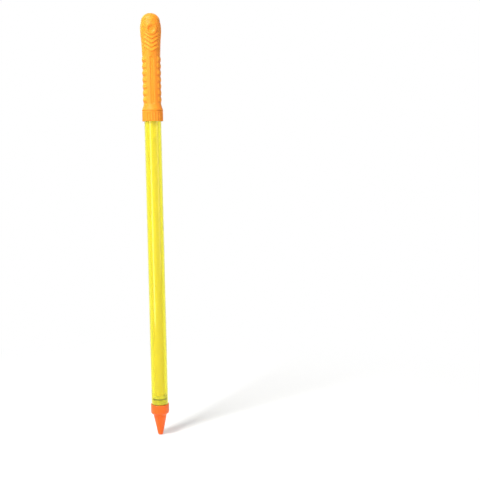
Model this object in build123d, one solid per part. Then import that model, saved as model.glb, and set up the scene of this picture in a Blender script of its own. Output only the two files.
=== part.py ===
from build123d import *
import math
import os

# Large water squirter: a hand pump toy that draws water through its nozzle and squirts it out again.
# The long axis is Z. The origin is the middle of the nozzle's tip face and the handle is up.
# The front of the handle faces -Y. All sizes are in millimetres.

# Barrel: a clear extruded tube
barrel_diameter = 30.0
barrel_wall = 1.7
barrel_length = 541.3

# Nozzle: cone, rounded shoulder and collar in one moulding
outlet_diameter = 3.5
outlet_length = 6.0
outlet_edge = 0.4
throat_length = 3.0
tip_diameter = 8.7
tip_round = 2.2
cone_length = 38.0
cone_base_diameter = 24.6
cone_wall = 2.1
shoulder_height = 4.3
collar_wall = 1.65
collar_length = 14.7
collar_round = 0.7
socket_depth = 13.5
seat_width = 3.6

# Rear end: sleeve glued on the barrel, bush inside it and fluted cap screwed over both
sleeve_wall = 1.5
sleeve_length = 12.3
bush_flange = 1.5
bush_length = 14.0
bush_edge = 0.8
cap_wall = 1.85
cap_length = 18.0
cap_top = 2.2
cap_edge = 0.6
flute_count = 22
flute_radius = 1.5
flute_depth = 0.75
flute_top_land = 2.2

# Plunger: piston, ring, tube and plug
plunger_diameter = 19.0
plunger_wall = 1.6
plunger_top_depth = 25.2
piston_front_gap = 13.7
piston_front_land = 8.3
piston_rear_land = 5.0
piston_edge = 0.6
piston_dish_radius = 8.0
piston_dish_depth = 1.2
piston_spigot = 16.0
ring_thickness = 2.6
groove_slack = 0.3
plug_head = 2.0
plug_spigot = 8.0

# Handle: hollow moulded grip. Depths are measured down from the top of its dome.
handle_length = 171.2
handle_wall = 2.4
dome_radius = 15.7
head_radius = 18.3
head_shoulder_radius = 17.4
head_shoulder_depth = 20.0
head_depth = 29.6
neck_radius = 16.3
neck_depth = 51.0
grip_top_radius = 15.4
grip_top_depth = 71.0
grip_end_radius = 15.0
flare_length = 13.0
skirt_overhang = 0.1
skirt_land = 1.8

# Raised work on the handle, the same on the front and the back
badge_radius = 10.4
badge_height = 0.9
badge_bowl_radius = 7.2
badge_bowl_depth = 2.4
chevron_count = 4
chevron_first_depth = 44.6
chevron_pitch = 7.2
chevron_width = 3.0
chevron_height = 0.8
chevron_angle = 36.0
chevron_bend = 2.5
chevron_reach = 12.8

# Sunk work on the handle
finger_groove_count = 8
finger_groove_first_depth = 65.0
finger_groove_end_gap = 7.4
finger_groove_width = 9.4
finger_groove_depth = 0.85
finger_groove_start_angle = 38.0
channel_width = 7.0
channel_depth = 0.9
channel_top_depth = 76.0
channel_overrun = 4.1

# Socket inside the handle
socket_flange = 2.4
socket_flange_recess = 0.6
socket_sleeve_length = 62.0

# Clearances on the radius
glue_gap = 0.05
thread_gap = 0.1
slide_gap = 0.06
piston_gap = 0.35
cap_hole_gap = 0.6
handle_rest_gap = 0.3

# Radii and heights that follow from the sizes above
barrel_radius = barrel_diameter / 2
bore_radius = barrel_radius - barrel_wall
plunger_radius = plunger_diameter / 2
plunger_bore_radius = plunger_radius - plunger_wall
socket_radius = barrel_radius + glue_gap
collar_radius = socket_radius + collar_wall
nozzle_length = cone_length + shoulder_height + collar_length
barrel_start = nozzle_length - socket_depth
barrel_end = barrel_start + barrel_length
sleeve_inner_radius = barrel_radius + glue_gap
sleeve_outer_radius = sleeve_inner_radius + sleeve_wall
cap_under = barrel_end + bush_flange
cap_end = cap_under + cap_top
cap_start = cap_end - cap_length
cap_inner_radius = sleeve_outer_radius + thread_gap
cap_radius = cap_inner_radius + cap_wall
bush_start = barrel_end - bush_length
piston_start = barrel_start + piston_front_gap
groove_width = ring_thickness + 2 * groove_slack
groove_start = piston_start + piston_front_land
groove_end = groove_start + groove_width
piston_end = groove_end + piston_rear_land
piston_radius = bore_radius - piston_gap
ring_outer_radius = bore_radius - slide_gap
ring_centre_radius = ring_outer_radius - ring_thickness / 2
groove_radius = ring_outer_radius - ring_thickness - slide_gap
handle_start = cap_end + handle_rest_gap
handle_end = handle_start + handle_length
plunger_end = handle_end - plunger_top_depth
skirt_radius = cap_radius + skirt_overhang
grip_end_depth = handle_length - skirt_land - flare_length
handle_reach = 2 * max(head_radius, skirt_radius)
full_draw = bush_start - piston_end - handle_rest_gap


def on_handle(depth):
    """Height of a point that lies this far below the top of the handle."""
    return handle_end - depth


def turned(points, rounds=()):
    """Turn an outline of (radius, height) points about the long axis, with some corners rounded."""
    outline = make_face(Polyline(*points, close=True))
    for point, radius in rounds:
        corner = outline.vertices().sort_by_distance(point)[0]
        outline = fillet(corner, radius)
    return revolve(Plane.XZ * outline, Axis.Z)


def ring(inner_radius, outer_radius, start, end, rounds=()):
    """A plain round sleeve between two heights."""
    points = [
        (inner_radius, start),
        (outer_radius, start),
        (outer_radius, end),
        (inner_radius, end),
    ]
    return turned(points, rounds)


def nozzle_cone():
    """Cone with a drilled tip, a chamber inside and a collar that takes the barrel end."""
    outlet_radius = outlet_diameter / 2
    tip_radius = tip_diameter / 2
    base_radius = cone_base_diameter / 2
    cone_slope = (base_radius - tip_radius) / cone_length
    throat_end = outlet_length + throat_length
    throat_radius = tip_radius + cone_slope * throat_end - cone_wall
    tip_corner = (tip_radius, 0)
    shoulder_end = cone_length + shoulder_height
    rim = (collar_radius, nozzle_length)
    with BuildSketch(Plane.XZ) as section:
        with BuildLine():
            Polyline((outlet_radius, 0), tip_corner, (base_radius, cone_length))
            RadiusArc(
                (base_radius, cone_length),
                (collar_radius, shoulder_end),
                -math.hypot(collar_radius - base_radius, shoulder_height) / math.sqrt(2),
            )
            Polyline(
                (collar_radius, shoulder_end),
                rim,
                (socket_radius, nozzle_length),
                (socket_radius, barrel_start),
                (socket_radius - seat_width, barrel_start),
                (base_radius - cone_wall, cone_length),
                (throat_radius, throat_end),
                (outlet_radius, outlet_length),
                (outlet_radius, 0),
            )
        make_face()
        fillet(section.vertices().sort_by_distance(tip_corner)[0], tip_round)
        fillet(section.vertices().sort_by_distance(rim)[0], collar_round)
        chamfer(section.vertices().sort_by_distance((outlet_radius, 0))[0], outlet_edge)
    return revolve(section.sketch, Axis.Z)


def barrel_tube():
    """Clear tube from the seat in the nozzle to the flange of the bush."""
    return ring(bore_radius, barrel_radius, barrel_start, barrel_end)


def threaded_sleeve():
    """Sleeve glued on the barrel's rear end, which the cap screws on."""
    return ring(sleeve_inner_radius, sleeve_outer_radius, barrel_end - sleeve_length, barrel_end)


def guide_bush():
    """Flanged bush that guides the plunger tube and stops the piston at full draw."""
    inner_radius = plunger_radius + slide_gap
    spigot_radius = bore_radius - glue_gap
    lower_corner = (spigot_radius, bush_start)
    points = [
        (inner_radius, bush_start),
        lower_corner,
        (spigot_radius, barrel_end),
        (sleeve_outer_radius, barrel_end),
        (sleeve_outer_radius, cap_under),
        (inner_radius, cap_under),
    ]
    return turned(points, rounds=((lower_corner, bush_edge),))


def rear_cap():
    """Cap screwed over the sleeve, with upright flutes round its wall for the fingers."""
    hole_radius = plunger_radius + cap_hole_gap
    lower_rim = (cap_radius, cap_start)
    upper_rim = (cap_radius, cap_end)
    points = [
        (cap_inner_radius, cap_start),
        lower_rim,
        upper_rim,
        (hole_radius, cap_end),
        (hole_radius, cap_under),
        (cap_inner_radius, cap_under),
    ]
    cap = turned(points, rounds=((lower_rim, cap_edge), (upper_rim, cap_edge)))
    flute_length = cap_length - flute_top_land
    flute = Cylinder(flute_radius, flute_length, align=(Align.CENTER, Align.CENTER, Align.MIN))
    flute_centre = cap_radius + flute_radius - flute_depth
    flutes = [
        Pos(0, 0, cap_start) * spot * flute
        for spot in PolarLocations(flute_centre, flute_count)
    ]
    return cap - flutes


def piston_head():
    """Piston with a ring groove, a dished front face and a spigot inside the plunger tube."""
    spigot_radius = plunger_bore_radius - glue_gap
    front_corner = (piston_radius, piston_start)
    points = [
        (0, piston_start + piston_dish_depth),
        (piston_dish_radius, piston_start),
        front_corner,
        (piston_radius, groove_start),
        (groove_radius, groove_start),
        (groove_radius, groove_end),
        (piston_radius, groove_end),
        (piston_radius, piston_end),
        (spigot_radius, piston_end),
        (spigot_radius, piston_end + piston_spigot),
        (0, piston_end + piston_spigot),
    ]
    return turned(points, rounds=((front_corner, piston_edge),))


def piston_o_ring():
    """Round rubber ring in the middle of the piston's groove."""
    return Pos(0, 0, (groove_start + groove_end) / 2) * Torus(ring_centre_radius, ring_thickness / 2)


def plunger_tube():
    """Tube that joins the piston to the handle."""
    return ring(plunger_bore_radius, plunger_radius, piston_end, plunger_end)


def tube_plug():
    """Plug that closes the upper end of the plunger tube."""
    spigot_radius = plunger_bore_radius - glue_gap
    points = [
        (0, plunger_end - plug_spigot),
        (spigot_radius, plunger_end - plug_spigot),
        (spigot_radius, plunger_end),
        (plunger_radius, plunger_end),
        (plunger_radius, plunger_end + plug_head),
        (0, plunger_end + plug_head),
    ]
    return turned(points)


def handle_form(growth):
    """The plain round form of the handle, with every radius grown or shrunk by the same amount."""
    dome = dome_radius + growth
    dome_foot = (dome, on_handle(dome_radius))
    head_side = (head_radius + growth, on_handle(head_depth))
    grip_top = (grip_top_radius + growth, on_handle(grip_top_depth))
    grip_end = (grip_end_radius + growth, on_handle(grip_end_depth))
    skirt_top = (skirt_radius + growth, handle_start + skirt_land)
    with BuildSketch(Plane.XZ) as section:
        with BuildLine():
            Line((0, handle_start), (0, handle_end + growth))
            RadiusArc((0, handle_end + growth), dome_foot, dome)
            Spline(
                dome_foot,
                (head_shoulder_radius + growth, on_handle(head_shoulder_depth)),
                head_side,
                tangents=((0.5, -1), (0, -1)),
            )
            Spline(
                head_side,
                (neck_radius + growth, on_handle(neck_depth)),
                grip_top,
                tangents=((0, -1), (0, -1)),
            )
            Line(grip_top, grip_end)
            TangentArc(grip_end, skirt_top, tangent=(0, -1))
            Polyline(skirt_top, (skirt_radius + growth, handle_start), (0, handle_start))
        make_face()
    return revolve(section.sketch, Axis.Z)


def on_badges(form):
    """The same form on the front and the back of the head, with its own Z facing outwards."""
    facing = Pos(0, 0, on_handle(head_depth)) * Rot(X=90)
    return [Rot(Z=side) * facing * form for side in (0, 180)]


def badge_discs():
    """Raised round discs on the front and the back of the head."""
    boss = Cylinder(badge_radius, handle_reach, align=(Align.CENTER, Align.CENTER, Align.MIN))
    return [handle_form(badge_height) & disc for disc in on_badges(boss)]


def badge_bowls():
    """Cutters for the round bowl in the middle of each disc."""
    ball_radius = (badge_bowl_radius**2 + badge_bowl_depth**2) / (2 * badge_bowl_depth)
    face = head_radius + badge_height
    return on_badges(Pos(0, 0, face - badge_bowl_depth + ball_radius) * Sphere(ball_radius))


def handle_hollow():
    """The inside of the handle, which leaves an even wall behind the bowls too."""
    backing_start = head_radius + badge_height - badge_bowl_depth - handle_wall
    backing = Pos(0, 0, backing_start) * Cylinder(
        badge_bowl_radius,
        handle_reach,
        align=(Align.CENTER, Align.CENTER, Align.MIN),
    )
    return handle_form(-handle_wall) - on_badges(backing)


def chevrons():
    """Ribs in the shape of a wide V below the disc, on the front and the back."""
    rise = chevron_reach * math.tan(math.radians(chevron_angle))
    bands = []
    for number in range(chevron_count):
        foot = on_handle(chevron_first_depth + number * chevron_pitch)
        path = FilletPolyline(
            (-chevron_reach, foot + rise),
            (0, foot),
            (chevron_reach, foot + rise),
            radius=chevron_bend,
        )
        band = Plane.XZ * trace(path, chevron_width)
        bands.append(extrude(band, handle_reach, both=True))
    return [handle_form(chevron_height) & band for band in bands]


def finger_grooves():
    """Shallow round grooves across both sides of the grip, which stop short of the front band."""
    band_half_width = grip_top_radius * math.sin(math.radians(finger_groove_start_angle))
    half_width = finger_groove_width / 2
    arc_radius = (half_width**2 + finger_groove_depth**2) / (2 * finger_groove_depth)
    side = Box(
        handle_reach,
        2 * handle_reach,
        2 * handle_reach,
        align=(Align.MIN, Align.CENTER, Align.CENTER),
    )
    slope = (grip_end_radius - grip_top_radius) / (grip_end_depth - grip_top_depth)
    grooved_length = grip_end_depth - finger_groove_end_gap - finger_groove_first_depth
    pitch = grooved_length / (finger_groove_count - 1)
    cuts = []
    for number in range(finger_groove_count):
        depth = finger_groove_first_depth + number * pitch
        surface_radius = grip_top_radius + slope * (depth - grip_top_depth)
        cutter = Torus(surface_radius - finger_groove_depth + arc_radius, arc_radius)
        for turn in (0, 180):
            half = cutter & Rot(Z=turn) * Pos(band_half_width, 0, 0) * side
            cuts.append(Pos(0, 0, on_handle(depth)) * half)
    return cuts


def front_channels():
    """Long shallow channel with round ends down the front and the back of the grip."""
    channel_length = grip_end_depth + channel_overrun - channel_top_depth
    middle = on_handle(channel_top_depth + channel_length / 2)
    slot = SlotOverall(channel_length, channel_width, rotation=90)
    prism = Pos(0, 0, middle) * extrude(Plane.XZ * slot, handle_reach, both=True)
    return prism - handle_form(-channel_depth)


def handle_grip():
    """Hollow moulded grip: round form with raised and sunk work, open at its skirt."""
    grip = handle_form(0) + badge_discs()
    grip += chevrons()
    grip -= badge_bowls()
    grip -= finger_grooves()
    grip -= front_channels()
    return grip - handle_hollow()


def handle_socket():
    """Sleeve on the plunger tube, with a flange that closes the handle's skirt."""
    sleeve_inner = plunger_radius + glue_gap
    sleeve_outer = grip_end_radius - handle_wall - glue_gap
    flange_start = handle_start + socket_flange_recess
    flange_end = handle_start + skirt_land
    flange_radius = skirt_radius - handle_wall - glue_gap
    points = [
        (sleeve_inner, flange_start),
        (flange_radius, flange_start),
        (flange_radius, flange_end),
        (sleeve_outer, flange_end + socket_flange),
        (sleeve_outer, flange_start + socket_sleeve_length),
        (sleeve_inner, flange_start + socket_sleeve_length),
    ]
    return turned(points)


pieces = {
    "nozzle_cone": nozzle_cone(),
    "barrel_tube": barrel_tube(),
    "threaded_sleeve": threaded_sleeve(),
    "guide_bush": guide_bush(),
    "rear_cap": rear_cap(),
    "piston_head": piston_head(),
    "piston_o_ring": piston_o_ring(),
    "plunger_tube": plunger_tube(),
    "tube_plug": tube_plug(),
    "handle_socket": handle_socket(),
    "handle_grip": handle_grip(),
}

os.makedirs("parts", exist_ok=True)
for name, piece in pieces.items():
    export_step(piece, f"parts/{name}.step")

print("overall length", round(handle_end, 3))
print("full draw", round(full_draw, 3))
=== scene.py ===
import math

import bmesh
import bpy
from mathutils import Euler, Matrix, Vector


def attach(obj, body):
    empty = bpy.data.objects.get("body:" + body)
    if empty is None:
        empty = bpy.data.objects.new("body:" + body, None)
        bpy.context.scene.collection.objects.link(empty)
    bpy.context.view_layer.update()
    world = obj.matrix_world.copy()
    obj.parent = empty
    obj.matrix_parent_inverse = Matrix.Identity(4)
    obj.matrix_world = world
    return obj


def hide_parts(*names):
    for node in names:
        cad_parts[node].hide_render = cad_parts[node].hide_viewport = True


# A long hand pump water squirter, standing on its nozzle with the handle up.
# The long axis is Z, the nozzle's tip face is at height zero and the handle's front faces -Y.
# Sections are given in millimetres as (radius, height) and turned about the long axis.

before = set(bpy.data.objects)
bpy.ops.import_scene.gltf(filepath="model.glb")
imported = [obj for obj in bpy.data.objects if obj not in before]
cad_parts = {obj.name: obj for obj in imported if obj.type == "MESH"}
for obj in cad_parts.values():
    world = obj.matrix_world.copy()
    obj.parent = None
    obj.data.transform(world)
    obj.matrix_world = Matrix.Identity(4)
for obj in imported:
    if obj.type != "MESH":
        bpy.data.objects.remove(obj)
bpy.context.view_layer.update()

MM = 0.001

# Sizes shared with the solids, in millimetres
TOP = 760.0
BARREL_RADIUS = 15.0
BORE_RADIUS = 13.3
BARREL_START = 43.5
BARREL_END = 584.8
BARREL_SEAT = 15.05
OUTLET_RADIUS = 1.75
OUTLET_LENGTH = 6.0
TIP_RADIUS = 4.35
CONE_RADIUS = 12.3
CONE_END = 38.0
COLLAR_RADIUS = 16.7
COLLAR_END = 57.0
CAP_START = 570.5
CAP_END = 588.5
CAP_RADIUS = 18.5
CAP_BORE = 16.65
CAP_HOLE = 10.1
CAP_ROOF = 2.2
FLUTE_COUNT = 22
FLUTE_HALF_WIDTH = 1.45
FLUTE_SINK = 0.75
PLUNGER_RADIUS = 9.5
PLUNGER_BORE = 7.9
PLUNGER_END = 734.8
PISTON_START = 57.2
PISTON_END = 73.7
PISTON_RADIUS = 12.95
SPIGOT_RADIUS = 7.85
SPIGOT_END = 89.7
RING_PLACE = 67.1
RING_MIDDLE = 11.94
RING_HALF_THICKNESS = 1.3
RING_SEAT = 10.58
RING_GROOVE_START = 65.5
RING_GROOVE_END = 68.7
SOCKET_START = 589.4
SOCKET_END = 651.4
SOCKET_BORE = 9.55
SOCKET_RADIUS = 12.55
SOCKET_FLANGE_RADIUS = 16.15
SOCKET_FLANGE_END = 590.6
BUSH_START = 570.8
BUSH_END = 586.3
BUSH_BORE = 9.56
BUSH_RADIUS = 13.25
BUSH_FLANGE_RADIUS = 16.55

# Handle form and relief, in millimetres. Depths are measured down from the top of the dome.
DOME_DEPTH = 15.2
DOME_RADIUS = 16.9
HEAD_RADIUS = 18.6
GRIP_TOP = 76.0
GRIP_END = 156.4
SKIRT_RADIUS = 18.6
SKIRT_TOP = 169.4
HANDLE_DEPTH = 171.2
BADGE_DEPTH = 29.6
BADGE_RADIUS = 10.4
BADGE_HEIGHT = 0.9
BOWL_RADIUS = 7.3
BOWL_SINK = 2.6
CHEVRON_COUNT = 4
CHEVRON_FIRST_DEPTH = 44.6
CHEVRON_PITCH = 7.2
CHEVRON_HEIGHT = 0.9
CHEVRON_SLOPE = math.tan(math.radians(36.0))
CHEVRON_BEND = 1.5
CHEVRON_REACH = 12.8
RIB_COUNT = 7
RIB_FIRST_VALLEY = 75.2
RIB_PITCH = 11.75
RIB_HEIGHT = 1.15
BAND_HALF_WIDTH = 9.5
CHANNEL_HALF_WIDTH = 3.5
CHANNEL_SINK = 1.0
CHANNEL_TOP = 76.0
CHANNEL_FOOT = 160.5
SEAM_HEIGHT = 0.12

# Share of the plain colour that the relief attribute gives, and the strength of the painted shade under
# the chevrons, under the ribs, at the channel's rim and under the badge
PLAIN_GRIP = 0.7
PLAIN_CAP = 0.75
CHEVRON_SHADE = 0.65
RIB_SHADE = 0.65
CHANNEL_SHADE = 0.3
BADGE_SHADE = 0.7


# Small helpers

def linear(code):
    """Turn an sRGB hex value into the linear colour that a shader takes."""
    channels = [int(code[i:i + 2], 16) / 255 for i in (1, 3, 5)]
    return tuple(
        c / 12.92 if c <= 0.04045 else ((c + 0.055) / 1.055) ** 2.4 for c in channels
    ) + (1.0,)


def per_metre(size_mm):
    """Pattern scale for features of this real size."""
    return 1000.0 / size_mm


def smooth(low, high, value):
    """Go softly from 0 at low to 1 at high."""
    share = min(max((value - low) / (high - low), 0.0), 1.0)
    return share * share * (3.0 - 2.0 * share)


def add_node(tree, kind, inputs=(), **settings):
    """Add one node. An input is a number, a colour or another node's output."""
    node = tree.nodes.new(kind)
    for name, value in settings.items():
        setattr(node, name, value)
    for name, value in dict(inputs).items():
        if isinstance(value, bpy.types.NodeSocket):
            tree.links.new(value, node.inputs[name])
        else:
            node.inputs[name].default_value = value
    return node


def new_material(name):
    """An empty node material and its tree."""
    material = bpy.data.materials.new(name)
    material.use_nodes = True
    material.node_tree.nodes.clear()
    return material, material.node_tree


def finish_surface(tree, shader):
    """Send a shader to the material's surface."""
    add_node(tree, "ShaderNodeOutputMaterial", {"Surface": shader.outputs[0]})


# Mesh helpers

def outline(bm, section, closed):
    """Lay a section as a few vertices and round each corner that gives a third number."""
    corners = [bm.verts.new((radius * MM, 0, height * MM)) for radius, height, *_ in section]
    ends = corners[1:] + corners[:1] if closed else corners[1:]
    for start, end in zip(corners, ends):
        bm.edges.new((start, end))
    for corner, (_, _, *cut) in zip(corners, section):
        if cut:
            bmesh.ops.bevel(
                bm,
                geom=[corner],
                offset=cut[0] * MM,
                offset_type="OFFSET",
                segments=5,
                profile=0.5,
                affect="VERTICES",
                material=-1,
            )


def turn(bm, steps):
    """Spin everything once round the long axis and close the seam and the poles."""
    bmesh.ops.spin(
        bm,
        geom=bm.verts[:] + bm.edges[:],
        cent=(0, 0, 0),
        axis=(0, 0, 1),
        dvec=(0, 0, 0),
        angle=math.tau,
        steps=steps,
        use_merge=True,
        use_duplicate=False,
    )
    bmesh.ops.remove_doubles(bm, verts=bm.verts[:], dist=1e-6)
    bmesh.ops.recalc_face_normals(bm, faces=bm.faces[:])


def piece(name, bm, material, body, nodes, even=True):
    """Make the mesh a finished piece that rides on a body and stands for CAD nodes."""
    mesh = bpy.data.meshes.new(name)
    bm.to_mesh(mesh)
    bm.free()
    mesh.shade_smooth()
    mesh.materials.append(material)
    made = bpy.data.objects.new(name, mesh)
    bpy.context.scene.collection.objects.link(made)
    if even:
        shading = made.modifiers.new("even_shading", "WEIGHTED_NORMAL")
        shading.keep_sharp = True
    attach(made, body)
    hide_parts(*nodes)
    return made


def turned_piece(name, section, material, body, nodes, closed=True, steps=128):
    """A round piece from one section."""
    bm = bmesh.new()
    outline(bm, section, closed)
    turn(bm, steps)
    return piece(name, bm, material, body, nodes)


# Materials

def clear_yellow_polystyrene():
    """Extruded crystal polystyrene: very glossy and see-through, with faint lines along its length."""
    material, tree = new_material("clear_yellow_polystyrene")
    place = add_node(tree, "ShaderNodeTexCoord").outputs["Object"]
    stretched = add_node(
        tree, "ShaderNodeMapping", {"Vector": place, "Scale": (1.0, 1.0, 0.02)}
    ).outputs["Vector"]
    lines = add_node(
        tree,
        "ShaderNodeTexNoise",
        {"Vector": stretched, "Scale": per_metre(1.6), "Detail": 3.0, "Roughness": 0.55},
    ).outputs["Fac"]
    bump = add_node(
        tree, "ShaderNodeBump", {"Strength": 0.06, "Distance": 0.00003, "Height": lines}
    ).outputs["Normal"]
    gloss = add_node(
        tree,
        "ShaderNodeMapRange",
        {"Value": lines, "From Min": 0.3, "From Max": 0.7, "To Min": 0.04, "To Max": 0.09},
    ).outputs["Result"]
    shader = add_node(
        tree,
        "ShaderNodeBsdfPrincipled",
        {
            "Base Color": linear("#FFFA48"),
            "Roughness": gloss,
            "IOR": 1.5,
            "Transmission Weight": 0.9,
            "Normal": bump,
        },
    )
    finish_surface(tree, shader)
    return material


def glossy_orange_polypropylene():
    """Injection moulded polypropylene from a polished mould: glossy, with faint flow marks."""
    material, tree = new_material("glossy_orange_polypropylene")
    place = add_node(tree, "ShaderNodeTexCoord").outputs["Object"]
    flow = add_node(
        tree,
        "ShaderNodeTexNoise",
        {"Vector": place, "Scale": per_metre(18.0), "Detail": 4.0, "Distortion": 0.6},
    ).outputs["Fac"]
    colour = add_node(
        tree,
        "ShaderNodeMix",
        {"Factor": flow, 6: linear("#FF6602"), 7: linear("#FF6F08")},
        data_type="RGBA",
    ).outputs[2]
    ripple = add_node(
        tree, "ShaderNodeTexNoise", {"Vector": place, "Scale": per_metre(3.0), "Detail": 2.0}
    ).outputs["Fac"]
    bump = add_node(
        tree, "ShaderNodeBump", {"Strength": 0.2, "Distance": 0.00005, "Height": ripple}
    ).outputs["Normal"]
    shader = add_node(
        tree,
        "ShaderNodeBsdfPrincipled",
        {
            "Base Color": colour,
            "Roughness": 0.24,
            "IOR": 1.49,
            "Subsurface Weight": 0.08,
            "Subsurface Radius": (1.0, 0.35, 0.08),
            "Subsurface Scale": 0.0012,
            "Normal": bump,
        },
    )
    finish_surface(tree, shader)
    return material


def satin_orange_polyethylene(name, relief):
    """Soft moulded polyethylene: satin from a sand-blasted mould, waxy; with relief, paler on raised
    parts and darker where shade is painted.
    """
    material, tree = new_material(name)
    place = add_node(tree, "ShaderNodeTexCoord").outputs["Object"]
    cloud = add_node(
        tree, "ShaderNodeTexNoise", {"Vector": place, "Scale": per_metre(22.0), "Detail": 5.0}
    ).outputs["Fac"]
    colour = add_node(
        tree,
        "ShaderNodeMix",
        {"Factor": cloud, 6: linear("#FF9C24"), 7: linear("#FFA62C")},
        data_type="RGBA",
    ).outputs[2]
    # the relief attribute mixes in a darker orange as painted shade in creases, under ridges and in
    # flutes; raised parts get less of it
    if relief:
        height = add_node(tree, "ShaderNodeAttribute", attribute_name="relief").outputs["Fac"]
        colour = add_node(
            tree,
            "ShaderNodeMix",
            {"Factor": height, 6: linear("#F0720E"), 7: colour},
            data_type="RGBA",
        ).outputs[2]
    # blasted grain is about 0.15 mm, drawn at 0.5 mm so that it shows
    grain = add_node(
        tree, "ShaderNodeTexNoise", {"Vector": place, "Scale": per_metre(0.5), "Detail": 2.0}
    ).outputs["Fac"]
    bump = add_node(
        tree, "ShaderNodeBump", {"Strength": 0.3, "Distance": 0.00006, "Height": grain}
    ).outputs["Normal"]
    gloss = add_node(
        tree,
        "ShaderNodeMapRange",
        {"Value": cloud, "From Min": 0.3, "From Max": 0.7, "To Min": 0.5, "To Max": 0.6},
    ).outputs["Result"]
    shader = add_node(
        tree,
        "ShaderNodeBsdfPrincipled",
        {
            "Base Color": colour,
            "Roughness": gloss,
            "IOR": 1.51,
            "Specular IOR Level": 0.3,
            "Subsurface Weight": 0.2,
            "Subsurface Radius": (1.0, 0.2, 0.05),
            "Subsurface Scale": 0.0014,
            "Normal": bump,
        },
    )
    finish_surface(tree, shader)
    return material


def smooth_yellow_pvc():
    """Extruded tube in solid yellow: smooth and half glossy, with fine lines along its length."""
    material, tree = new_material("smooth_yellow_pvc")
    place = add_node(tree, "ShaderNodeTexCoord").outputs["Object"]
    stretched = add_node(
        tree, "ShaderNodeMapping", {"Vector": place, "Scale": (1.0, 1.0, 0.015)}
    ).outputs["Vector"]
    lines = add_node(
        tree, "ShaderNodeTexNoise", {"Vector": stretched, "Scale": per_metre(0.9), "Detail": 3.0}
    ).outputs["Fac"]
    colour = add_node(
        tree,
        "ShaderNodeMix",
        {"Factor": lines, 6: linear("#FFEA00"), 7: linear("#FFF208")},
        data_type="RGBA",
    ).outputs[2]
    bump = add_node(
        tree, "ShaderNodeBump", {"Strength": 0.25, "Distance": 0.00004, "Height": lines}
    ).outputs["Normal"]
    shader = add_node(
        tree,
        "ShaderNodeBsdfPrincipled",
        {"Base Color": colour, "Roughness": 0.28, "IOR": 1.54, "Normal": bump},
    )
    finish_surface(tree, shader)
    return material


def natural_white_polypropylene():
    """Plain moulded polypropylene without pigment: milky and a little waxy."""
    material, tree = new_material("natural_white_polypropylene")
    place = add_node(tree, "ShaderNodeTexCoord").outputs["Object"]
    cloud = add_node(
        tree, "ShaderNodeTexNoise", {"Vector": place, "Scale": per_metre(6.0), "Detail": 4.0}
    ).outputs["Fac"]
    colour = add_node(
        tree,
        "ShaderNodeMix",
        {"Factor": cloud, 6: linear("#E6E4DA"), 7: linear("#F4F3EC")},
        data_type="RGBA",
    ).outputs[2]
    bump = add_node(
        tree, "ShaderNodeBump", {"Strength": 0.2, "Distance": 0.00005, "Height": cloud}
    ).outputs["Normal"]
    shader = add_node(
        tree,
        "ShaderNodeBsdfPrincipled",
        {
            "Base Color": colour,
            "Roughness": 0.42,
            "IOR": 1.49,
            "Subsurface Weight": 0.3,
            "Subsurface Radius": (1.0, 0.9, 0.8),
            "Subsurface Scale": 0.002,
            "Normal": bump,
        },
    )
    finish_surface(tree, shader)
    return material


def greased_grey_rubber():
    """Moulded nitrile rubber: matt and grey, with a thin uneven film of grease that shines."""
    material, tree = new_material("greased_grey_rubber")
    place = add_node(tree, "ShaderNodeTexCoord").outputs["Object"]
    film = add_node(
        tree, "ShaderNodeTexNoise", {"Vector": place, "Scale": per_metre(2.5), "Detail": 4.0}
    ).outputs["Fac"]
    colour = add_node(
        tree,
        "ShaderNodeMix",
        {"Factor": film, 6: linear("#77726B"), 7: linear("#928D85")},
        data_type="RGBA",
    ).outputs[2]
    gloss = add_node(
        tree,
        "ShaderNodeMapRange",
        {"Value": film, "From Min": 0.35, "From Max": 0.65, "To Min": 0.3, "To Max": 0.6},
    ).outputs["Result"]
    bump = add_node(
        tree, "ShaderNodeBump", {"Strength": 0.3, "Distance": 0.00008, "Height": film}
    ).outputs["Normal"]
    shader = add_node(
        tree,
        "ShaderNodeBsdfPrincipled",
        {"Base Color": colour, "Roughness": gloss, "IOR": 1.52, "Normal": bump},
    )
    finish_surface(tree, shader)
    return material


def white_floor():
    """Matt white paper: it takes the shadow near the object and fades to plain white far from it."""
    material, tree = new_material("white_floor")
    place = add_node(tree, "ShaderNodeTexCoord").outputs["Object"]
    distance = add_node(
        tree, "ShaderNodeVectorMath", {0: place}, operation="LENGTH"
    ).outputs["Value"]
    far = add_node(
        tree,
        "ShaderNodeMapRange",
        {"Value": distance, "From Min": 0.1, "From Max": 0.9, "To Min": 0.35, "To Max": 1.0},
        interpolation_type="SMOOTHSTEP",
    ).outputs["Result"]
    seen = seen_ray(tree)
    share = add_node(tree, "ShaderNodeMath", {0: far, 1: seen}, operation="MULTIPLY").outputs[0]
    paper = add_node(
        tree, "ShaderNodeBsdfDiffuse", {"Color": linear("#F5F5F3"), "Roughness": 0.6}
    )
    glow = add_node(
        tree, "ShaderNodeEmission", {"Color": linear("#FFFFFF"), "Strength": 1.0}
    )
    mixed = add_node(
        tree, "ShaderNodeMixShader", {0: share, 1: paper.outputs[0], 2: glow.outputs[0]}
    )
    finish_surface(tree, mixed)
    return material


def seen_ray(tree):
    """1 for rays that come from the camera, a gloss or a clear piece, and 0 for light on the object."""
    ray = add_node(tree, "ShaderNodeLightPath")
    total = add_node(
        tree,
        "ShaderNodeMath",
        {0: ray.outputs["Is Camera Ray"], 1: ray.outputs["Is Glossy Ray"]},
        operation="MAXIMUM",
    ).outputs[0]
    return add_node(
        tree,
        "ShaderNodeMath",
        {0: total, 1: ray.outputs["Is Transmission Ray"]},
        operation="MAXIMUM",
    ).outputs[0]


# The handle

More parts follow.
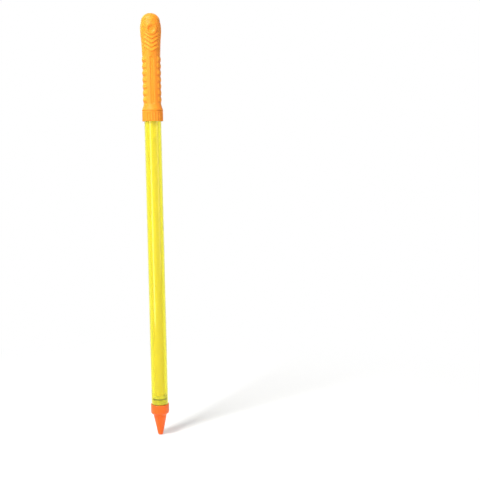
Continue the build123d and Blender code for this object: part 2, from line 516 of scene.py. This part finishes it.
def grip_outline(depth):
    """Radius of the plain handle at a depth below the foot of its dome."""
    # depth, radius and slope of each knot
    knots = (
        (DOME_DEPTH, DOME_RADIUS, 0.32),
        (20.0, 18.0, 0.14),
        (BADGE_DEPTH, HEAD_RADIUS, 0.0),
        (51.0, 17.1, -0.07),
        (68.0, 16.3, -0.04),
        (GRIP_TOP, 15.8, -0.01),
        (GRIP_END, 15.35, 0.0),
        (SKIRT_TOP, SKIRT_RADIUS, 0.36),
    )
    for (d0, r0, s0), (d1, r1, s1) in zip(knots, knots[1:]):
        if depth <= d1:
            span = d1 - d0
            u = (depth - d0) / span
            return (
                (2 * u ** 3 - 3 * u ** 2 + 1) * r0
                + (u ** 3 - 2 * u ** 2 + u) * span * s0
                + (-2 * u ** 3 + 3 * u ** 2) * r1
                + (u ** 3 - u ** 2) * span * s1
            )
    return SKIRT_RADIUS


def relief_at(side, depth):
    """Height of the raised and sunk work at a sideways distance and a depth, and the painted shade for
    its colour.
    """
    side = abs(side)
    height = 0.0
    shade = 0.0
    # lapped chevrons: each swells towards its lower edge and drops there, with a painted shade line
    # just below each drop
    rise = CHEVRON_SLOPE * (math.hypot(side, CHEVRON_BEND) - CHEVRON_BEND)
    reach = 1.0 - smooth(CHEVRON_REACH - 1.4, CHEVRON_REACH + 0.8, side)
    for number in range(CHEVRON_COUNT):
        place = depth + rise - CHEVRON_FIRST_DEPTH - number * CHEVRON_PITCH
        swell = smooth(-4.4, 1.3, place) * (1.0 - smooth(1.6, 2.5, place))
        height = max(height, CHEVRON_HEIGHT * swell * reach)
        # painted shade under the chevron's drop
        under = 1.0 - smooth(0.3, 1.5, abs(place - 2.5))
        shade = max(shade, CHEVRON_SHADE * reach * under)
    # finger ribs across both sides, with painted shade under each crest
    sides = smooth(BAND_HALF_WIDTH - 0.6, BAND_HALF_WIDTH + 1.4, side)
    place = (depth - RIB_FIRST_VALLEY) / RIB_PITCH
    if 0.0 < place < RIB_COUNT:
        along_rib = place % 1.0
        height += RIB_HEIGHT * sides * math.sin(math.pi * along_rib) ** 1.4
        # painted shade on the underside of each rib
        under = 1.0 - smooth(0.0, 0.22, abs(along_rib - 0.83))
        shade = max(shade, RIB_SHADE * sides * under)
    # channel down the middle, with a thin painted shade line along its rim
    end = CHANNEL_HALF_WIDTH
    along = max(CHANNEL_TOP + end - depth, depth - CHANNEL_FOOT + end, 0.0)
    across = math.hypot(side, along) / CHANNEL_HALF_WIDTH
    height -= CHANNEL_SINK * (1.0 - smooth(0.7, 1.12, across))
    # painted shade along the channel's rim
    edge = 1.0 - smooth(0.0, 0.2, abs(across - 0.9))
    shade = max(shade, CHANNEL_SHADE * edge)
    return height, shade


def sculpt(vert, relief):
    """Move one vertex of the outer skin to the real form of the handle."""
    x, y, z = (value / MM for value in vert.co)
    radius = math.hypot(x, y)
    depth = TOP - z
    height, shade = relief_at(x, depth)
    # mould parting line down both sides
    seam = SEAM_HEIGHT * (1.0 - smooth(0.2, 0.7, abs(y)))
    grown = (radius + height + seam) / radius
    x, y = x * grown, y * grown
    # badge: a raised disc with a dished middle, pressed straight back, with painted shade along the
    # lower half of its rim
    spread = math.hypot(x, depth - BADGE_DEPTH)
    if spread < BADGE_RADIUS + 1.2 and abs(y) > 5.0:
        raised = BADGE_HEIGHT * (1.0 - smooth(BADGE_RADIUS - 0.5, BADGE_RADIUS + 0.5, spread))
        share = spread / BOWL_RADIUS
        bowl = BOWL_SINK * (1.0 - smooth(0.42, 1.04, share))
        # painted shade along the rim, strongest under the disc
        rim = 1.0 - smooth(0.2, 1.0, abs(spread - BADGE_RADIUS - 0.5))
        shade = max(shade, BADGE_SHADE * rim * smooth(-3.0, 6.0, depth - BADGE_DEPTH))
        out = math.hypot(x, y)
        y = math.copysign(math.sqrt(max((out + raised) ** 2 - x * x, 1.0)) - bowl, y)
    vert.co = (x * MM, y * MM, z * MM)
    # colour share for the relief attribute: paler on raised parts, darker where shade is painted
    raised_colour = min(PLAIN_GRIP + 0.3 * max(height, 0.0), 1.0)
    relief[vert.index] = raised_colour * (1.0 - 0.8 * shade)


def handle_grip(material):
    """Hollow moulded handle, turned as a plain shell and then sculpted."""
    steps = 256
    bm = bmesh.new()
    # the dome's profile is one vertex spun through a quarter turn
    top = bm.verts.new((0, 0, TOP * MM))
    bmesh.ops.spin(
        bm,
        geom=[top],
        cent=(0, 0, (TOP - DOME_DEPTH) * MM),
        axis=(0, 1, 0),
        dvec=(0, 0, 0),
        angle=math.pi / 2,
        steps=34,
        use_merge=False,
        use_duplicate=False,
    )
    # the side is three straight runs, divided for the relief and then bent to the outline,
    # and the round dome is widened to meet it
    for end_depth, cuts in ((GRIP_TOP, 150), (SKIRT_TOP, 120), (HANDLE_DEPTH, 3)):
        foot = min(bm.verts, key=lambda v: v.co.z)
        end = bm.verts.new((grip_outline(end_depth) * MM, 0, (TOP - end_depth) * MM))
        run = bm.edges.new((foot, end))
        bmesh.ops.subdivide_edges(bm, edges=[run], cuts=cuts, use_grid_fill=False)
    foot = min(bm.verts, key=lambda v: v.co.z)
    for vert in bm.verts:
        depth = TOP - vert.co.z / MM
        if depth > DOME_DEPTH + 0.01:
            vert.co.x = grip_outline(depth) * MM
        else:
            vert.co.x *= DOME_RADIUS / DOME_DEPTH
    # the inner wall
    inside = (
        (16.2, 588.8), (16.2, 590.6), (12.6, 601.0), (13.0, 689.0), (13.9, 709.0),
        (15.7, 730.4), (14.9, 740.0), (13.3, 744.3), (10.6, 751.0), (6.0, 756.2), (0.0, 757.6),
    )
    for radius, height in inside:
        corner = bm.verts.new((radius * MM, 0, height * MM))
        bm.edges.new((foot, corner))
        foot = corner
    turn(bm, steps)
    bm.verts.index_update()
    bm.verts.ensure_lookup_table()
    relief = [PLAIN_GRIP] * len(bm.verts)
    for vert in bm.verts:
        depth = TOP - vert.co.z / MM
        radius = math.hypot(vert.co.x, vert.co.y) / MM
        if depth > DOME_DEPTH + 0.01 and radius > grip_outline(depth) - 0.4:
            sculpt(vert, relief)
    made = piece("handle_grip_moulding", bm, material, "plunger",
                 ["handle_grip"], even=False)
    layer = made.data.attributes.new("relief", "FLOAT", "POINT")
    layer.data.foreach_set("value", relief)
    made.data.set_sharp_from_angle(angle=math.radians(50))
    return made


# The cap

def rear_cap(material):
    """Screw cap with upright flutes round its wall."""
    bm = bmesh.new()
    ceiling = CAP_END - CAP_ROOF
    section = [
        (CAP_BORE, CAP_START),
        (CAP_RADIUS, CAP_START, 0.5),
        (CAP_RADIUS, CAP_END, 0.6),
        (CAP_HOLE, CAP_END, 0.3),
        (CAP_HOLE, ceiling),
        (CAP_BORE, ceiling),
    ]
    outline(bm, section, closed=True)
    wall = [
        edge for edge in bm.edges
        if all(v.co.x / MM > CAP_RADIUS - 0.001 for v in edge.verts)
    ]
    bmesh.ops.subdivide_edges(bm, edges=wall, cuts=30)
    turn(bm, FLUTE_COUNT * 12)
    bm.verts.index_update()
    relief = [PLAIN_CAP] * len(bm.verts)
    for vert in bm.verts:
        radius = math.hypot(vert.co.x, vert.co.y) / MM
        if radius < CAP_BORE + 0.5:
            continue
        height = vert.co.z / MM
        turn_share = math.atan2(vert.co.y, vert.co.x) / math.tau * FLUTE_COUNT % 1.0
        across = abs(turn_share - 0.5) * 2 * math.pi * CAP_RADIUS / FLUTE_COUNT
        if across < FLUTE_HALF_WIDTH:
            cut = FLUTE_SINK * (1.0 - (across / FLUTE_HALF_WIDTH) ** 2)
            cut *= 1.0 - smooth(CAP_END - 3.6, CAP_END - 2.0, height)
            vert.co.x *= (radius - cut) / radius
            vert.co.y *= (radius - cut) / radius
            # painted shade darkens the sunk flutes
            relief[vert.index] -= 0.4 * cut
    made = piece("rear_cap_moulding", bm, material, "barrel", ["rear_cap"])
    layer = made.data.attributes.new("relief", "FLOAT", "POINT")
    layer.data.foreach_set("value", relief)
    return made


# The squirter, piece by piece

clear_yellow = clear_yellow_polystyrene()
glossy_orange = glossy_orange_polypropylene()
satin_orange = satin_orange_polyethylene("satin_orange_polyethylene", relief=False)
grip_orange = satin_orange_polyethylene("painted_shade_orange_polyethylene", relief=True)
solid_yellow = smooth_yellow_pvc()
milky_white = natural_white_polypropylene()
seal_grey = greased_grey_rubber()

nozzle_section = [
    (OUTLET_RADIUS, 0, 0.35),
    (TIP_RADIUS, 0, 1.9),
    (CONE_RADIUS, CONE_END, 0.8),
    (15.9, 40.3, 1.6),
    (COLLAR_RADIUS, 44.0, 1.0),
    (COLLAR_RADIUS, COLLAR_END, 0.6),
    (BARREL_SEAT, COLLAR_END, 0.2),
    (BARREL_SEAT, BARREL_START),
    (11.45, BARREL_START),
    (10.2, CONE_END),
    (4.13, 9.0),
    (OUTLET_RADIUS, OUTLET_LENGTH),
]
turned_piece("nozzle_cone_moulding", nozzle_section, glossy_orange, "barrel",
             ["nozzle_cone"])

barrel_section = [
    (BORE_RADIUS, BARREL_START, 0.2),
    (BARREL_RADIUS, BARREL_START, 0.2),
    (BARREL_RADIUS, BARREL_END, 0.2),
    (BORE_RADIUS, BARREL_END, 0.2),
]
turned_piece("barrel_clear_tube", barrel_section, clear_yellow, "barrel",
             ["barrel_tube"], steps=160)

piston_section = [
    (0, PISTON_START + 1.2),
    (8.0, PISTON_START, 0.6),
    (PISTON_RADIUS, PISTON_START, 0.6),
    (PISTON_RADIUS, RING_GROOVE_START, 0.25),
    (RING_SEAT, RING_GROOVE_START),
    (RING_SEAT, RING_GROOVE_END),
    (PISTON_RADIUS, RING_GROOVE_END, 0.25),
    (PISTON_RADIUS, PISTON_END, 0.4),
    (SPIGOT_RADIUS, PISTON_END),
    (SPIGOT_RADIUS, SPIGOT_END, 0.6),
    (0, SPIGOT_END),
]
turned_piece("piston_head_moulding", piston_section, milky_white, "plunger",
             ["piston_head"], closed=False)

plunger_section = [
    (PLUNGER_BORE, PISTON_END, 0.2),
    (PLUNGER_RADIUS, PISTON_END, 0.3),
    (PLUNGER_RADIUS, PLUNGER_END, 0.3),
    (PLUNGER_BORE, PLUNGER_END, 0.2),
]
turned_piece("plunger_inner_tube", plunger_section, solid_yellow, "plunger",
             ["plunger_tube"])

# the ring's section is one vertex spun round the middle of the groove
ring = bmesh.new()
start = ring.verts.new(((RING_MIDDLE + RING_HALF_THICKNESS) * MM, 0, RING_PLACE * MM))
bmesh.ops.spin(
    ring,
    geom=[start],
    cent=(RING_MIDDLE * MM, 0, RING_PLACE * MM),
    axis=(0, 1, 0),
    dvec=(0, 0, 0),
    angle=math.tau,
    steps=24,
    use_merge=True,
    use_duplicate=False,
)
turn(ring, 128)
piece("piston_seal_ring", ring, seal_grey, "seal", ["piston_o_ring"])

socket_section = [
    (SOCKET_BORE, SOCKET_START, 0.3),
    (SOCKET_FLANGE_RADIUS, SOCKET_START, 0.3),
    (SOCKET_FLANGE_RADIUS, SOCKET_FLANGE_END),
    (SOCKET_RADIUS, 593.0),
    (SOCKET_RADIUS, SOCKET_END, 0.4),
    (SOCKET_BORE, SOCKET_END),
]
turned_piece("handle_socket_moulding", socket_section, satin_orange, "plunger",
             ["handle_socket"])

bush_section = [
    (BUSH_BORE, BUSH_START, 0.3),
    (BUSH_RADIUS, BUSH_START, 0.8),
    (BUSH_RADIUS, BARREL_END),
    (BUSH_FLANGE_RADIUS, BARREL_END),
    (BUSH_FLANGE_RADIUS, BUSH_END, 0.2),
    (BUSH_BORE, BUSH_END, 0.3),
]
turned_piece("guide_bush_moulding", bush_section, milky_white, "barrel",
             ["guide_bush"])

rear_cap(grip_orange)
handle_grip(grip_orange)

for node in ("threaded_sleeve", "tube_plug"):
    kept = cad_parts[node]
    for place in kept.material_slots:
        place.material = milky_white
    if not kept.material_slots:
        kept.data.materials.append(milky_white)


# Floor, lamps, world and camera

floor_mesh = bmesh.new()
bmesh.ops.create_circle(floor_mesh, cap_ends=True, segments=64, radius=12.0)
floor_data = bpy.data.meshes.new("floor")
floor_mesh.to_mesh(floor_data)
floor_mesh.free()
floor_data.materials.append(white_floor())
floor = bpy.data.objects.new("floor", floor_data)
floor.location = (0, 0, -0.0003)
bpy.context.scene.collection.objects.link(floor)


def soft_box(name, place, target, width, height, power):
    """A rectangular soft lamp that faces a point."""
    lamp = bpy.data.lights.new(name, "AREA")
    lamp.shape = "RECTANGLE"
    lamp.size = width
    lamp.size_y = height
    lamp.energy = power
    made = bpy.data.objects.new(name, lamp)
    made.location = place
    made.rotation_euler = (Vector(target) - Vector(place)).to_track_quat("-Z", "Y").to_euler()
    made.visible_camera = False
    bpy.context.scene.collection.objects.link(made)


soft_box("strip_lamp", (-0.66, -0.70, 0.83), (0, 0, 0.83), 0.3, 1.6, 6.0)
soft_box("top_lamp", (-0.75, -0.75, 2.1), (0, 0, 0.6), 0.45, 0.45, 38.0)
soft_box("fill_lamp", (1.2, -0.9, 0.7), (0, 0, 0.5), 0.8, 1.2, 4.0)
soft_box("back_lamp", (-0.6, 1.5, 1.3), (0, 0, 0.5), 0.9, 1.2, 12.0)

world = bpy.data.worlds.new("studio")
bpy.context.scene.world = world
world.use_nodes = True
sky = world.node_tree
sky.nodes.clear()
seen = seen_ray(sky)
strength = add_node(
    sky, "ShaderNodeMapRange", {"Value": seen, "To Min": 0.32, "To Max": 1.0}
).outputs["Result"]
background = add_node(
    sky, "ShaderNodeBackground", {"Color": linear("#FFFFFF"), "Strength": strength}
)
add_node(sky, "ShaderNodeOutputWorld", {"Surface": background.outputs[0]})

# the photo's view, in metres and degrees: a little from the left, looking slightly down
CAMERA_PLACE = (-0.1102, -1.5757, 0.4894)
CAMERA_TILT = 85.129
CAMERA_TURN = -9.516
CAMERA_ROLL = -0.981

lens = bpy.data.cameras.new("camera")
lens.sensor_width = 36.0
lens.lens = 65.6
camera = bpy.data.objects.new("camera", lens)
camera.location = CAMERA_PLACE
aimed = Euler((math.radians(CAMERA_TILT), 0, math.radians(CAMERA_TURN))).to_matrix()
rolled = aimed @ Matrix.Rotation(math.radians(CAMERA_ROLL), 3, "Z")
camera.rotation_euler = rolled.to_euler()
bpy.context.scene.collection.objects.link(camera)
bpy.context.scene.camera = camera

bpy.context.scene.view_settings.view_transform = "Standard"
